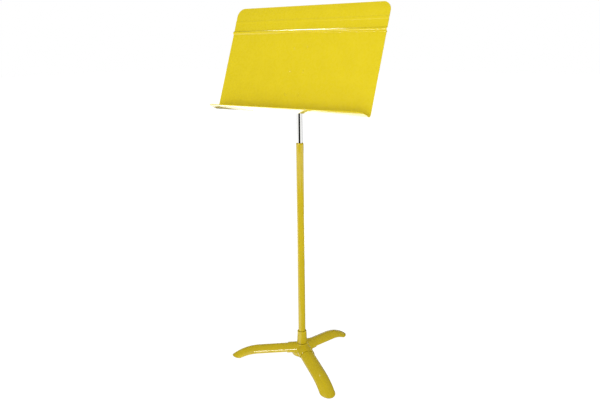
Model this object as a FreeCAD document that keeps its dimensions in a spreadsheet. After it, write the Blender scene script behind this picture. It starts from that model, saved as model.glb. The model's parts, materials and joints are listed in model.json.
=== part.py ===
import FreeCAD, Part
import math
import os
import Sketcher

# An orchestral music stand: a folded sheet desk with a shelf, on a sliding and turning column with a
# friction clutch, on three pressed legs. Millimetres, +Z up. The origin is on the floor under the
# column's axis, and the front of the desk faces -Y.

# Driving sizes, in millimetres and degrees. Each is one cell of the sheet.
SIZES = {
    # Desk sheet: a panel that leans back, and a shelf folded forward at its foot.
    "desk_width": 508,
    "desk_rise": 317.5,
    "desk_lean": 22.1,
    "desk_wall": 1.6,
    "shelf_depth": 51.7,
    "fold_radius": 9.4,
    "desk_corner": 25,
    "shelf_corner": 18,
    # Two ribs are pressed forward across the panel, the lower one deeper.
    "low_rib_place": 240.5,
    "low_rib_rise": 4,
    "low_rib_width": 11,
    "high_rib_place": 273.5,
    "high_rib_rise": 0.8,
    "high_rib_width": 10,
    "rib_blend": 1.2,
    # Rivets that hold the bracket to the panel, in two columns and three rows.
    "rivet_spacing": 43,
    "rivet_pitch": 68.2,
    "rivet_first": 54.4,
    "rivet_shank": 4.8,
    "rivet_head": 7.6,
    "rivet_dome": 1.1,
    # Channel bracket on the back of the panel.
    "bracket_wall": 2,
    "bracket_depth": 34,
    "bracket_lip": 11,
    "bracket_margin": 16,
    "ear_half_height": 30,
    "ear_corner": 9,
    # Tilt pivot: its height in this setting, and where it lies on the desk.
    "pivot_height": 893.2,
    "pivot_up_desk": 110,
    "pivot_behind_desk": 20,
    "bolt_size": 8,
    "bolt_head_width": 13,
    "bolt_head_height": 5.3,
    "nut_height": 8,
    "bolt_tail": 2,
    "cross_outer": 20,
    "cross_wall": 1.5,
    "cross_length": 54,
    "pivot_bush_flange": 1.6,
    "pivot_bush_depth": 12,
    "friction_washer": 2.4,
    "friction_washer_width": 22,
    "disc_spring": 1.2,
    "disc_spring_width": 16,
    # Column tubes.
    "tube_outer": 22.2,
    "tube_wall": 1.5,
    "tube_low": 31,
    "tube_high": 697.6,
    "rod_outer": 15.9,
    "rod_wall": 1.2,
    "rod_length": 680,
    # Guide bush, plug and snap ring on the foot of the rod.
    "guide_length": 22,
    "end_plug_disc": 3,
    "end_plug_spigot": 9,
    "end_plug_width": 18.2,
    "snap_ring": 1.2,
    "snap_ring_width": 18,
    "ring_gap": 4,
    # Friction clutch in the top of the outer tube.
    "cap_height": 10,
    "cap_spigot": 4,
    "cap_mouth": 18,
    "top_bush_length": 12,
    "sleeve_length": 30,
    "sleeve_ring": 8,
    "finger_wall": 0.8,
    "finger_slot": 2,
    "finger_count": 6,
    "spring_wire": 0.6,
    "spring_place": 7,
    "retainer": 1.2,
    # Collar that covers the joint of tube and hub.
    "collar_height": 42,
    "collar_low_width": 32.4,
    "collar_high_width": 28.5,
    "collar_edge": 0.8,
    # Hub, with three sockets.
    "hub_low": 27,
    "hub_high": 62.6,
    "hub_width": 66,
    "hub_shoulder": 38.6,
    "hub_top_width": 33.2,
    "socket_reach": 45,
    "socket_wall": 2,
    "hub_edge": 1.5,
    # Legs: a bowed channel, straight and then curving down to the floor.
    "leg_count": 3,
    "leg_width": 45,
    "leg_height": 18,
    "leg_corner": 9,
    "leg_skirt": 2,
    "leg_wall": 2,
    "leg_root": 20,
    "leg_root_height": 40.3,
    "leg_drop": 8.1,
    "leg_straight": 121,
    "leg_bend": 163,
    "leg_sweep": 36,
    "base_turn": -6.6,
    "pad_show": 1.5,
    "pad_height": 9,
    # Plug, bolt and washer that clamp the tube to the hub.
    "tube_plug_height": 20,
    "base_bolt_size": 10,
    "base_bolt_length": 24,
    "base_bolt_head_width": 16,
    "base_bolt_head_height": 6.4,
    "base_washer": 1.6,
    "base_washer_width": 21,
    # Clearances, on the radius: parts that run, and parts that are assembled and stay.
    "running_fit": 0.06,
    "still_fit": 0.05,
}

ACROSS = FreeCAD.Vector(1, 0, 0)
BACK = FreeCAD.Vector(0, 1, 0)
UP = FreeCAD.Vector(0, 0, 1)

doc = FreeCAD.newDocument("music_stand")
sheet = doc.addObject("Spreadsheet::Sheet", "Size")
for row, (alias, number) in enumerate(SIZES.items(), start=1):
    sheet.set(f"A{row}", alias)
    sheet.set(f"B{row}", str(number))
    sheet.setAlias(f"B{row}", alias)
doc.recompute()

# Sizes that follow from the driving ones, as expressions.
TUBE = "Size.tube_outer / 2"
TUBE_BORE = "(Size.tube_outer / 2 - Size.tube_wall)"
ROD = "Size.rod_outer / 2"
ROD_BORE = "(Size.rod_outer / 2 - Size.rod_wall)"
IN_TUBE = f"({TUBE_BORE} - Size.still_fit)"
ON_ROD = f"({ROD} + Size.running_fit)"
ROD_FOOT = "(Size.pivot_height - Size.rod_length)"
TOP_BUSH_LOW = "(Size.tube_high - Size.cap_spigot - Size.top_bush_length)"
SLEEVE_LOW = f"({TOP_BUSH_LOW} - Size.sleeve_length)"
FINGER = f"({ON_ROD} + Size.finger_wall)"
BOLT = "Size.bolt_size / 2"
EAR_INSIDE = "(Size.cross_length / 2 + Size.pivot_bush_flange + Size.friction_washer)"
EAR_OUTSIDE = f"({EAR_INSIDE} + Size.bracket_wall)"
DESK_BACK = "Size.desk_wall"
WEB_BACK = "(Size.desk_wall + Size.bracket_wall)"

# The desk's own frame: X across, Y rearward and Z up along the panel's front face, from its foot.
DESK_Y = "-Size.pivot_behind_desk * cos(Size.desk_lean) - Size.pivot_up_desk * sin(Size.desk_lean)"
DESK_Z = (
    "Size.pivot_height + Size.pivot_behind_desk * sin(Size.desk_lean)"
    " - Size.pivot_up_desk * cos(Size.desk_lean)"
)
DESK_FRAME = f"placement(vector(0; {DESK_Y}; {DESK_Z}); rotation(0; 0; -Size.desk_lean))"


def number_of(expression):
    """The value of an expression on the sheet."""
    return float(sheet.evalExpression(expression))


def place(piece, across="0", back="0", up="0", yaw="0", pitch="0", roll="0"):
    """Put a piece at a point, turned about Z, then Y, then X."""
    spot = f"placement(vector({across}; {back}; {up}); rotation({yaw}; {pitch}; {roll}))"
    piece.setExpression("Placement", spot)


def place_on_desk(piece, across="0", back="0", up="0", roll="0"):
    """Put a piece in the desk's own frame."""
    spot = f"placement(vector({across}; {back}; {up}); rotation(0; 0; {roll}))"
    piece.setExpression("Placement", f"{DESK_FRAME} * {spot}")


def new_body(name):
    """An empty body with its label."""
    body = doc.addObject("PartDesign::Body", name)
    body.Label = name
    return body


def new_sketch(body, name, plane):
    """A sketch on one of its own body's origin planes."""
    sketch = body.newObject("Sketcher::SketchObject", f"{body.Name}_{name}")
    support = [item for item in body.Origin.OriginFeatures if item.Role == plane]
    sketch.AttachmentSupport = [(support[0], "")]
    sketch.MapMode = "FlatFace"
    return sketch


def bind(sketch, constraint, expression):
    """Add a dimension that follows the sheet."""
    index = sketch.addConstraint(constraint)
    sketch.setExpression(f"Constraints[{index}]", expression)


def outline(body, name, plane, corners):
    """A closed outline of straight edges, each corner a pair of expressions."""
    sketch = new_sketch(body, name, plane)
    spots = [(number_of(across), number_of(up)) for across, up in corners]
    count = len(spots)
    for index, (across, up) in enumerate(spots):
        following = spots[(index + 1) % count]
        start = FreeCAD.Vector(across, up, 0)
        end = FreeCAD.Vector(following[0], following[1], 0)
        sketch.addGeometry(Part.LineSegment(start, end))
    for index in range(count):
        sketch.addConstraint(Sketcher.Constraint("Coincident", index, 2, (index + 1) % count, 1))
    for index, (across, up) in enumerate(corners):
        place_across, place_up = spots[index]
        bind(sketch, Sketcher.Constraint("DistanceX", -1, 1, index, 1, place_across), across)
        bind(sketch, Sketcher.Constraint("DistanceY", -1, 1, index, 1, place_up), up)
    return sketch


def circles(body, name, plane, centres, radius):
    """Equal circles, each centre a pair of expressions."""
    sketch = new_sketch(body, name, plane)
    reach = number_of(radius)
    for index, (across, up) in enumerate(centres):
        centre = FreeCAD.Vector(number_of(across), number_of(up), 0)
        sketch.addGeometry(Part.Circle(centre, FreeCAD.Vector(0, 0, 1), reach))
        bind(sketch, Sketcher.Constraint("DistanceX", -1, 1, index, 3, centre.x), across)
        bind(sketch, Sketcher.Constraint("DistanceY", -1, 1, index, 3, centre.y), up)
        bind(sketch, Sketcher.Constraint("Radius", index, reach), radius)
    return sketch


def pad(body, sketch, length):
    """Pad a sketch to both sides of its plane."""
    feature = body.newObject("PartDesign::Pad", f"{sketch.Name}_pad")
    feature.Profile = sketch
    feature.SideType = "Symmetric"
    feature.setExpression("Length", length)
    return feature


def pocket(body, sketch, length):
    """Cut a sketch to both sides of its plane."""
    feature = body.newObject("PartDesign::Pocket", f"{sketch.Name}_cut")
    feature.Profile = sketch
    feature.SideType = "Symmetric"
    feature.setExpression("Length", length)
    return feature


def turned(name, corners):
    """A piece turned about Z; each corner is its radius and its height."""
    body = new_body(name)
    sketch = outline(body, "section", "XZ_Plane", corners)
    feature = body.newObject("PartDesign::Revolution", f"{name}_turn")
    feature.Profile = sketch
    feature.ReferenceAxis = (sketch, ["V_Axis"])
    feature.Angle = 360
    return body


def ring(name, inside, outside, height):
    """A plain ring, its lower face on its own XY plane."""
    return turned(name, [(inside, "0"), (outside, "0"), (outside, height), (inside, height)])


def edges_where(feature, along, wanted):
    """The names of a feature's edges that run along an axis and whose ends both pass a test."""
    names = []
    for index, edge in enumerate(feature.Shape.Edges, start=1):
        ends = [vertex.Point for vertex in edge.Vertexes]
        if len(ends) != 2 or not all(wanted(end) for end in ends):
            continue
        run = ends[1] - ends[0]
        if abs(abs(run.dot(along)) - run.Length) < 0.001:
            names.append(f"Edge{index}")
    return names


def fillet(body, name, radius, along, wanted):
    """Round the edges of a body's last feature that run along an axis and pass a test."""
    doc.recompute()
    base = body.Tip
    feature = body.newObject("PartDesign::Fillet", f"{body.Name}_{name}")
    feature.Base = (base, edges_where(base, along, wanted))
    feature.setExpression("Radius", radius)
    doc.recompute()
    return feature


def near(first, second):
    """True where two lengths agree."""
    return abs(first - second) < 0.001


def group(name, members):
    """One node made of separate solids."""
    compound = doc.addObject("Part::Compound", name)
    compound.Label = name
    compound.Links = members
    return compound


def difference(name, base, tool):
    """One shape less another."""
    cut = doc.addObject("Part::Cut", name)
    cut.Label = name
    cut.Base = base
    cut.Tool = tool
    return cut


def hexagon_and_shank(name, width, head, shank, length):
    """A hexagon head below the XY plane and a round shank above it."""
    prism = doc.addObject("Part::Prism", f"{name}_head")
    prism.Polygon = 6
    prism.setExpression("Circumradius", f"{width} / 2 / cos(30)")
    prism.setExpression("Height", head)
    prism.setExpression("Placement", f"placement(vector(0; 0; -({head})); rotation(0; 0; 0))")
    rod = doc.addObject("Part::Cylinder", f"{name}_shank")
    rod.setExpression("Radius", shank)
    rod.setExpression("Height", length)
    bolt = doc.addObject("Part::Fuse", name)
    bolt.Label = name
    bolt.Base = prism
    bolt.Tool = rod
    return bolt


def bowed_section(body, name, grow, foot):
    """The legs' cross-section: upright sides, round corners and a bowed top, grown all round.

    The outline is tangent all the way over the top, and foot is the height of its flat underside.
    """
    sketch = new_sketch(body, name, "YZ_Plane")
    side = number_of(f"Size.leg_width / 2 + {grow}")
    corner = number_of(f"Size.leg_corner + {grow}")
    crown = number_of(f"Size.leg_height + {grow}")
    skirt = number_of("Size.leg_skirt")
    low = number_of(foot)
    inset = side - corner
    drop = skirt - crown
    bow = (corner**2 - inset**2 - drop**2) / (2 * (drop + corner))
    middle = crown - bow
    meet = math.atan2(skirt - middle, inset)
    upright = FreeCAD.Vector(0, 0, 1)
    right = Part.Circle(FreeCAD.Vector(inset, skirt, 0), upright, corner)
    top = Part.Circle(FreeCAD.Vector(0, middle, 0), upright, bow)
    left = Part.Circle(FreeCAD.Vector(-inset, skirt, 0), upright, corner)
    sketch.addGeometry(Part.LineSegment(FreeCAD.Vector(-side, low, 0), FreeCAD.Vector(side, low, 0)))
    sketch.addGeometry(Part.LineSegment(FreeCAD.Vector(side, low, 0), FreeCAD.Vector(side, skirt, 0)))
    sketch.addGeometry(Part.ArcOfCircle(right, 0, meet))
    sketch.addGeometry(Part.ArcOfCircle(top, meet, math.pi - meet))
    sketch.addGeometry(Part.ArcOfCircle(left, math.pi - meet, math.pi))
    sketch.addGeometry(Part.LineSegment(FreeCAD.Vector(-side, skirt, 0), FreeCAD.Vector(-side, low, 0)))
    sketch.addGeometry(Part.Point(FreeCAD.Vector(0, crown, 0)), True)
    sketch.addConstraint(Sketcher.Constraint("Coincident", 0, 2, 1, 1))
    sketch.addConstraint(Sketcher.Constraint("Coincident", 5, 2, 0, 1))
    sketch.addConstraint(Sketcher.Constraint("Vertical", 1))
    sketch.addConstraint(Sketcher.Constraint("Vertical", 5))
    sketch.addConstraint(Sketcher.Constraint("Horizontal", 2, 1, 4, 2))
    for piece in range(1, 5):
        sketch.addConstraint(Sketcher.Constraint("Tangent", piece, 2, piece + 1, 1))
    sketch.addConstraint(Sketcher.Constraint("Equal", 2, 4))
    sketch.addConstraint(Sketcher.Constraint("Symmetric", 0, 1, 0, 2, -2))
    sketch.addConstraint(Sketcher.Constraint("PointOnObject", 6, 1, 3))
    sketch.addConstraint(Sketcher.Constraint("PointOnObject", 6, 1, -2))
    bind(sketch, Sketcher.Constraint("DistanceX", 0, 1, 0, 2, 2 * side), f"Size.leg_width + 2 * ({grow})")
    bind(sketch, Sketcher.Constraint("Radius", 2, corner), f"Size.leg_corner + {grow}")
    bind(sketch, Sketcher.Constraint("DistanceY", -1, 1, 6, 1, crown), f"Size.leg_height + {grow}")
    bind(sketch, Sketcher.Constraint("DistanceY", -1, 1, 2, 1, skirt), "Size.leg_skirt")
    bind(sketch, Sketcher.Constraint("DistanceY", -1, 1, 0, 1, low), foot)
    return sketch


def leg_line(body):
    """The line under a leg's middle: straight, then an arc that turns down."""
    sketch = new_sketch(body, "line", "XZ_Plane")
    reach = number_of("Size.leg_straight")
    bend = number_of("Size.leg_bend")
    sweep = math.radians(number_of("Size.leg_sweep"))
    circle = Part.Circle(FreeCAD.Vector(reach, -bend, 0), FreeCAD.Vector(0, 0, 1), bend)
    sketch.addGeometry(Part.LineSegment(FreeCAD.Vector(0, 0, 0), FreeCAD.Vector(reach, 0, 0)))
    sketch.addGeometry(Part.ArcOfCircle(circle, math.pi / 2 - sweep, math.pi / 2))
    sketch.addConstraint(Sketcher.Constraint("Coincident", 0, 1, -1, 1))
    sketch.addConstraint(Sketcher.Constraint("Horizontal", 0))
    sketch.addConstraint(Sketcher.Constraint("Tangent", 0, 2, 1, 2))
    bind(sketch, Sketcher.Constraint("DistanceX", 0, 1, 0, 2, reach), "Size.leg_straight")
    bind(sketch, Sketcher.Constraint("Radius", 1, bend), "Size.leg_bend")
    bind(sketch, Sketcher.Constraint("Angle", 1, sweep), "Size.leg_sweep")
    return sketch


def sweep_leg(body, kind, section, line):
    """Sweep a section along a leg's line."""
    feature = body.newObject(kind, f"{section.Name}_sweep")
    feature.Profile = section
    feature.Spine = (line, ["Edge1", "Edge2"])
    return feature


def place_as_leg(piece, turn):
    """Put a piece where a leg starts, pointing outwards and slightly down."""
    place(
        piece,
        across=f"Size.leg_root * cos({turn})",
        back=f"Size.leg_root * sin({turn})",
        up="Size.leg_root_height",
        yaw=turn,
        pitch="Size.leg_drop",
    )


def block(name, low, high):
    """A square block about the column's axis, wide enough for the whole base."""
    box = doc.addObject("Part::Box", name)
    span = "2 * (Size.leg_root + Size.leg_straight + Size.leg_bend + Size.leg_width)"
    box.setExpression("Length", span)
    box.setExpression("Width", span)
    box.setExpression("Height", f"{high} - ({low})")
    place(box, across=f"-({span}) / 2", back=f"-({span}) / 2", up=low)
    return box


# ---------------------------------------------------------------------------------------------------
# Base
# ---------------------------------------------------------------------------------------------------

LEG_TURNS = {
    "left": "(210 + Size.base_turn)",
    "right": "(330 + Size.base_turn)",
    "back": "(90 + Size.base_turn)",
}


def make_leg(side, turn):
    """A pressed leg: an open channel, cut level just above the floor."""
    blank = new_body(f"leg_{side}_blank")
    line = leg_line(blank)
    sweep_leg(blank, "PartDesign::AdditivePipe", bowed_section(blank, "outside", "0", "0"), line)
    inside = bowed_section(blank, "inside", "-Size.leg_wall", "-Size.leg_wall")
    sweep_leg(blank, "PartDesign::SubtractivePipe", inside, line)
    place_as_leg(blank, turn)
    floor = block(f"leg_{side}_floor", "-2 * Size.leg_bend", "Size.pad_show")
    return difference(f"leg_{side}", blank, floor)


def make_foot_pad(side, turn):
    """A rubber pad that plugs the mouth of a leg and stands on the floor."""
    name = f"foot_pad_{side}"
    blank = new_body(f"{name}_blank")
    line = leg_line(blank)
    section = bowed_section(blank, "inside", "-Size.leg_wall - Size.still_fit", "0")
    sweep_leg(blank, "PartDesign::AdditivePipe", section, line)
    place_as_leg(blank, turn)
    slab = block(f"{name}_slab", "0", "Size.pad_height")
    pad_shape = doc.addObject("Part::Common", name)
    pad_shape.Label = name
    pad_shape.Base = blank
    pad_shape.Tool = slab
    return pad_shape


def leg_plug(name, turn, grow, start, reach):
    """A straight length of the legs' section, from one radius to another, as a tool for the hub."""
    body = new_body(name)
    section = bowed_section(body, "section", grow, f"-({grow})")
    feature = body.newObject("PartDesign::Pad", f"{name}_pad")
    feature.Profile = section
    feature.setExpression("Length", f"({reach}) - ({start})")
    spot = (
        f"placement(vector(({start}) * cos({turn}); ({start}) * sin({turn});"
        f" Size.leg_root_height - (({start}) - Size.leg_root) * tan(Size.leg_drop));"
        f" rotation({turn}; Size.leg_drop; 0))"
    )
    body.setExpression("Placement", spot)
    return body


def make_hub():
    """A cast hub: a dome with a bore for the tube, and three sockets that hold the legs."""
    bore = f"({TUBE} + Size.still_fit)"
    hole = "(Size.base_bolt_size / 2 + Size.still_fit)"
    dome = turned(
        "hub_dome",
        [
            (hole, "Size.hub_low"),
            ("Size.hub_width / 2 - Size.hub_edge", "Size.hub_low"),
            ("Size.hub_width / 2", "Size.hub_low + Size.hub_edge"),
            ("Size.hub_width / 2", "Size.hub_shoulder"),
            ("Size.hub_top_width / 2", "Size.hub_high"),
            (bore, "Size.hub_high"),
            (bore, "Size.tube_low"),
            (hole, "Size.tube_low"),
        ],
    )
    sockets = []
    cavities = []
    for side, turn in LEG_TURNS.items():
        outside = "Size.still_fit + Size.socket_wall"
        start = f"{TUBE} + Size.still_fit + 1"
        sockets.append(leg_plug(f"hub_socket_{side}", turn, outside, start, "Size.socket_reach"))
        cavities.append(leg_plug(f"hub_cavity_{side}", turn, "Size.still_fit", "Size.leg_root - 0.2",
                                 "Size.socket_reach + Size.leg_height"))
    solid = doc.addObject("Part::MultiFuse", "hub_solid")
    solid.Shapes = [dome] + sockets
    hollow = doc.addObject("Part::MultiFuse", "hub_hollow")
    hollow.Shapes = cavities
    return difference("hub", solid, hollow)


hub = make_hub()
legs = [make_leg(side, turn) for side, turn in LEG_TURNS.items()]
foot_pads = [make_foot_pad(side, turn) for side, turn in LEG_TURNS.items()]

outer_tube = ring("outer_tube", TUBE_BORE, TUBE, "Size.tube_high - Size.tube_low")
place(outer_tube, up="Size.tube_low")

collar = turned(
    "collar",
    [
        (f"{TUBE} + Size.still_fit", "0"),
        ("Size.collar_low_width / 2 - Size.collar_edge", "0"),
        ("Size.collar_low_width / 2", "Size.collar_edge"),
        ("Size.collar_high_width / 2", "Size.collar_height - Size.collar_edge"),
        ("Size.collar_high_width / 2 - Size.collar_edge", "Size.collar_height"),
        (f"{TUBE} + Size.still_fit", "Size.collar_height"),
    ],
)
place(collar, up="Size.hub_high")

tube_plug = ring("tube_plug", "Size.base_bolt_size / 2 + Size.still_fit", IN_TUBE, "Size.tube_plug_height")
place(tube_plug, up="Size.tube_low")

base_washer = ring(
    "base_washer",
    "Size.base_bolt_size / 2 + Size.still_fit",
    "Size.base_washer_width / 2",
    "Size.base_washer",
)
place(base_washer, up="Size.hub_low - Size.base_washer")

base_bolt = hexagon_and_shank(
    "base_bolt",
    "Size.base_bolt_head_width",
    "Size.base_bolt_head_height",
    "Size.base_bolt_size / 2",
    "Size.base_bolt_length",
)
place(base_bolt, up="Size.hub_low - Size.base_washer")

# ---------------------------------------------------------------------------------------------------
# Friction clutch, in the top of the outer tube
# ---------------------------------------------------------------------------------------------------

clutch_cap = turned(
    "clutch_cap",
    [
        (f"{ON_ROD} + 4 * Size.running_fit", "-Size.cap_spigot"),
        (IN_TUBE, "-Size.cap_spigot"),
        (IN_TUBE, "0"),
        (TUBE, "0"),
        (TUBE, "Size.cap_height * 0.2"),
        ("Size.cap_mouth / 2", "Size.cap_height"),
        (f"{ON_ROD} + 4 * Size.running_fit", "Size.cap_height"),
    ],
)
place(clutch_cap, up="Size.tube_high")

top_bushing = ring("top_bushing", ON_ROD, IN_TUBE, "Size.top_bush_length")
place(top_bushing, up=TOP_BUSH_LOW)


def make_finger_sleeve():
    """A slotted spring sleeve: a ring above, and fingers below that press on the rod."""
    body = turned(
        "clutch_fingers",
        [
            (ON_ROD, "0"),
            (FINGER, "0"),
            (FINGER, "Size.sleeve_length - Size.sleeve_ring"),
            (IN_TUBE, "Size.sleeve_length - Size.sleeve_ring"),
            (IN_TUBE, "Size.sleeve_length"),
            (ON_ROD, "Size.sleeve_length"),
        ],
    )
    depth = "(Size.sleeve_length - Size.sleeve_ring)"
    half = "Size.finger_slot / 2"
    slot = outline(
        body,
        "slot",
        "XZ_Plane",
        [(f"-{half}", "-1"), (half, "-1"), (half, depth), (f"-{half}", depth)],
    )
    cut = body.newObject("PartDesign::Pocket", "clutch_fingers_slot_cut")
    cut.Profile = slot
    cut.Reversed = False
    cut.setExpression("Length", "Size.tube_outer")
    doc.recompute()
    pattern = body.newObject("PartDesign::PolarPattern", "clutch_fingers_slots")
    pattern.Originals = [cut]
    pattern.Axis = ([item for item in body.Origin.OriginFeatures if item.Role == "Z_Axis"][0], [""])
    pattern.Angle = 360
    pattern.setExpression("Occurrences", "Size.finger_count")
    body.Tip = pattern
    place(body, up=SLEEVE_LOW)
    return body


clutch_fingers = make_finger_sleeve()

clutch_spring = doc.addObject("Part::Torus", "clutch_spring")
clutch_spring.Label = "clutch_spring"
clutch_spring.setExpression("Radius1", f"{FINGER} + Size.still_fit + Size.spring_wire / 2")
clutch_spring.setExpression("Radius2", "Size.spring_wire / 2")
place(clutch_spring, up=f"{SLEEVE_LOW} + Size.spring_place")


def split_ring(name, inside, outside, height, up):
    """A ring with a gap, as a snap ring has."""
    body = ring(name, inside, outside, height)
    half = "Size.ring_gap / 2"
    reach = f"({outside} + 1)"
    gap = outline(
        body, "gap", "XY_Plane", [(f"-{half}", "0"), (half, "0"), (half, reach), (f"-{half}", reach)]
    )
    pocket(body, gap, f"3 * {height}")
    place(body, up=up)
    return body


clutch_retainer = split_ring(
    "clutch_retainer",
    f"{FINGER} + Size.still_fit",
    IN_TUBE,
    "Size.retainer",
    f"{SLEEVE_LOW} + Size.sleeve_length - Size.sleeve_ring - Size.retainer",
)

# ---------------------------------------------------------------------------------------------------
# Sliding and turning column
# ---------------------------------------------------------------------------------------------------

GUIDE_LOW = f"({ROD_FOOT})"

guide_bush = ring("guide_bush", ON_ROD, f"{TUBE_BORE} - Size.running_fit", "Size.guide_length")
place(guide_bush, up=GUIDE_LOW)

end_plug = turned(
    "rod_end_plug",
    [
        ("0", "0"),
        ("Size.end_plug_width / 2", "0"),
        ("Size.end_plug_width / 2", "Size.end_plug_disc"),
        (f"{ROD_BORE} - Size.still_fit", "Size.end_plug_disc"),
        (f"{ROD_BORE} - Size.still_fit", "Size.end_plug_disc + Size.end_plug_spigot"),
        ("0", "Size.end_plug_disc + Size.end_plug_spigot"),
    ],
)
place(end_plug, up=f"{ROD_FOOT} - Size.end_plug_disc")

snap_ring = split_ring(
    "rod_snap_ring", ROD, "Size.snap_ring_width / 2", "Size.snap_ring", f"{GUIDE_LOW} + Size.guide_length"
)


def make_rod():
    """The inner tube, its upper end shaped to sit against the cross tube."""
    blank = ring("inner_tube_blank", ROD_BORE, ROD, "Size.rod_length")
    place(blank, up=ROD_FOOT)
    saddle = doc.addObject("Part::Cylinder", "inner_tube_saddle")
    saddle.setExpression("Radius", "Size.cross_outer / 2")
    saddle.setExpression("Height", "Size.cross_length")
    place(saddle, across="-Size.cross_length / 2", up="Size.pivot_height", pitch="90")
    return difference("inner_tube", blank, saddle)


inner_tube = make_rod()

cross_tube = ring(
    "cross_tube", "Size.cross_outer / 2 - Size.cross_wall", "Size.cross_outer / 2", "Size.cross_length"
)
place(cross_tube, across="-Size.cross_length / 2", up="Size.pivot_height", pitch="90")


def make_pivot_bush(side, sign):
    """A flanged bush in one end of the cross tube, made pointing inwards."""
    bore = f"{BOLT} + Size.running_fit"
    spigot = "Size.cross_outer / 2 - Size.cross_wall - Size.still_fit"
    body = turned(
        f"pivot_bush_{side}",
        [
            (bore, "0"),
            ("Size.cross_outer / 2", "0"),
            ("Size.cross_outer / 2", "Size.pivot_bush_flange"),
            (spigot, "Size.pivot_bush_flange"),
            (spigot, "Size.pivot_bush_flange + Size.pivot_bush_depth"),
            (bore, "Size.pivot_bush_flange + Size.pivot_bush_depth"),
        ],
    )
    reach = "(Size.cross_length / 2 + Size.pivot_bush_flange)"
    place(body, across=f"{sign} * {reach}", up="Size.pivot_height", pitch=f"-90 * {sign}")
    return body


pivot_bushes = group("pivot_bushes", [make_pivot_bush("left", -1), make_pivot_bush("right", 1)])

# ---------------------------------------------------------------------------------------------------
# Desk
# ---------------------------------------------------------------------------------------------------

RIVET_ACROSS = ("-Size.rivet_spacing / 2", "Size.rivet_spacing / 2")
RIVET_UP = tuple(f"(Size.rivet_first + {row} * Size.rivet_pitch)" for row in range(3))
RIVET_SPOTS = [(across, up) for up in RIVET_UP for across in RIVET_ACROSS]


def rib_section(body, name, chord, rise, half_width, up):
    """A shallow arch seen from the side: an arc that bulges forward, closed by its chord."""
    sketch = new_sketch(body, name, "YZ_Plane")
    base = number_of(chord)
    height = number_of(rise)
    half = number_of(half_width)
    centre_up = number_of(up)
    radius = (half**2 + height**2) / (2 * height)
    low = FreeCAD.Vector(base, centre_up - half, 0)
    high = FreeCAD.Vector(base, centre_up + half, 0)
    crown = FreeCAD.Vector(base - height, centre_up, 0)
    sketch.addGeometry(Part.Arc(high, crown, low))
    sketch.addGeometry(Part.LineSegment(low, high))
    sketch.addConstraint(Sketcher.Constraint("Coincident", 0, 2, 1, 1))
    sketch.addConstraint(Sketcher.Constraint("Coincident", 1, 2, 0, 1))
    for end, spot, place_up in ((1, high, f"{up} + {half_width}"), (2, low, f"{up} - ({half_width})")):
        bind(sketch, Sketcher.Constraint("DistanceX", -1, 1, 0, end, spot.x), chord)
        bind(sketch, Sketcher.Constraint("DistanceY", -1, 1, 0, end, spot.y), place_up)
    arc_radius = f"(({half_width}) ^ 2 + ({rise}) ^ 2) / (2 * ({rise}))"
    bind(sketch, Sketcher.Constraint("Radius", 0, radius), arc_radius)
    return sketch


def make_panel():
    """The folded sheet: a leaning panel, a shelf square to it, and two ribs pressed forward."""
    body = new_body("desk_panel")
    sheet_side = outline(
        body,
        "side",
        "YZ_Plane",
        [
            ("-Size.shelf_depth", "0"),
            (DESK_BACK, "0"),
            (DESK_BACK, "Size.desk_rise"),
            ("0", "Size.desk_rise"),
            ("0", "Size.desk_wall"),
            ("-Size.shelf_depth", "Size.desk_wall"),
        ],
    )
    pad(body, sheet_side, "Size.desk_width")
    wall = number_of("Size.desk_wall")
    half = number_of("Size.desk_width / 2")
    rise = number_of("Size.desk_rise")
    depth = number_of("Size.shelf_depth")
    fold = "Size.fold_radius"
    fillet(body, "fold_inside", fold, ACROSS, lambda end: near(end.y, 0) and near(end.z, wall))
    fold = "Size.fold_radius + Size.desk_wall"
    fillet(body, "fold_outside", fold, ACROSS, lambda end: near(end.y, wall) and near(end.z, 0))
    corner = "Size.desk_corner"
    fillet(body, "top_corners", corner, BACK, lambda end: near(abs(end.x), half) and near(end.z, rise))
    corner = "Size.shelf_corner"
    fillet(body, "shelf_corners", corner, UP, lambda end: near(abs(end.x), half) and near(end.y, -depth))
    for rib in ("low_rib", "high_rib"):
        width = f"Size.{rib}_width / 2"
        ridge = rib_section(body, f"{rib}_ridge", "0", f"Size.{rib}_rise", width, f"Size.{rib}_place")
        pad(body, ridge, "Size.desk_width")
        groove_width = f"{width} - Size.desk_wall"
        groove = rib_section(
            body, f"{rib}_groove", "Size.desk_wall", f"Size.{rib}_rise", groove_width, f"Size.{rib}_place"
        )
        pocket(body, groove, "Size.desk_width")
    for rib in ("low_rib", "high_rib"):
        middle = number_of(f"Size.{rib}_place")
        reach = number_of(f"Size.{rib}_width / 2")
        fillet(
            body,
            f"{rib}_blend",
            "Size.rib_blend",
            ACROSS,
            lambda end: near(end.y, 0) and near(abs(end.z - middle), reach),
        )
    holes = circles(body, "holes", "XZ_Plane", RIVET_SPOTS, "Size.rivet_shank / 2 + Size.still_fit")
    pocket(body, holes, "4 * Size.desk_wall")
    body.setExpression("Placement", DESK_FRAME)
    return body


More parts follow.
